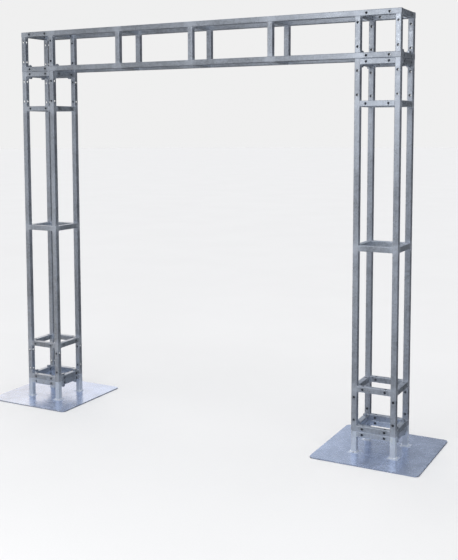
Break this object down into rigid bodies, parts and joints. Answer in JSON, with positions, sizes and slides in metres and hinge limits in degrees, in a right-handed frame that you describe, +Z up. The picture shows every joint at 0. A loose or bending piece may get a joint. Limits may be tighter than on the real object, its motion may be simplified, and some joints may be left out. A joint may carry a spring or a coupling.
{
  "type": "lighting truss arch",
  "caption": "Free-standing arch of galvanised square-tube truss: a ladder-framed beam section bolted across two column sections that stand on flat plates with short stubs.",
  "frame": {"origin": "on the floor, midway between the two columns and midway through the depth of the section", "axes": "+X along the beam, left to right as seen from the front; -Y is the front; +Z up"},
  "size_m": [2.28, 0.48, 1.9],
  "materials": {
    "zinc_tube": "satin galvanised",
    "zinc_bar": "satin galvanised",
    "zinc_plate": "semi-gloss galvanised",
    "bright_zinc": "bright zinc plated"
  },
  "bodies": {
    "root": {"beam_chord_front_lower": "zinc_tube", "beam_chord_front_upper": "zinc_tube", "beam_chord_rear_lower": "zinc_tube", "beam_chord_rear_upper": "zinc_tube", "beam_frame_left_end": "zinc_bar", "beam_frame_left_bay": "zinc_bar", "beam_frame_left_middle": "zinc_bar", "beam_frame_centre": "zinc_bar", "beam_frame_right_middle": "zinc_bar", "beam_frame_right_bay": "zinc_bar", "beam_frame_right_end": "zinc_bar", "beam_end_caps_left": "zinc_tube", "beam_end_caps_right": "zinc_tube", "left_column_post_front_outer": "zinc_tube", "left_column_post_front_inner": "zinc_tube", "left_column_post_rear_outer": "zinc_tube", "left_column_post_rear_inner": "zinc_tube", "left_column_frame_bottom": "zinc_bar", "left_column_frame_lower": "zinc_bar", "left_column_frame_middle": "zinc_bar", "left_column_frame_upper": "zinc_bar", "left_column_frame_top": "zinc_bar", "right_column_post_front_outer": "zinc_tube", "right_column_post_front_inner": "zinc_tube", "right_column_post_rear_outer": "zinc_tube", "right_column_post_rear_inner": "zinc_tube", "right_column_frame_bottom": "zinc_bar", "right_column_frame_lower": "zinc_bar", "right_column_frame_middle": "zinc_bar", "right_column_frame_upper": "zinc_bar", "right_column_frame_top": "zinc_bar", "left_base_plate": "zinc_plate", "left_base_ring": "zinc_bar", "left_base_leg_caps": "zinc_tube", "left_base_leg_front_outer": "zinc_tube", "left_base_leg_front_inner": "zinc_tube", "left_base_leg_rear_outer": "zinc_tube", "left_base_leg_rear_inner": "zinc_tube", "right_base_plate": "zinc_plate", "right_base_ring": "zinc_bar", "right_base_leg_caps": "zinc_tube", "right_base_leg_front_outer": "zinc_tube", "right_base_leg_front_inner": "zinc_tube", "right_base_leg_rear_outer": "zinc_tube", "right_base_leg_rear_inner": "zinc_tube", "left_base_joint_bolts": "bright_zinc", "left_base_joint_washers": "bright_zinc", "left_base_joint_nuts": "bright_zinc", "right_base_joint_bolts": "bright_zinc", "right_base_joint_washers": "bright_zinc", "right_base_joint_nuts": "bright_zinc", "left_beam_joint_bolts": "bright_zinc", "left_beam_joint_washers": "bright_zinc", "left_beam_joint_nuts": "bright_zinc", "right_beam_joint_bolts": "bright_zinc", "right_beam_joint_washers": "bright_zinc", "right_beam_joint_nuts": "bright_zinc"}
  },
  "joints": []
}
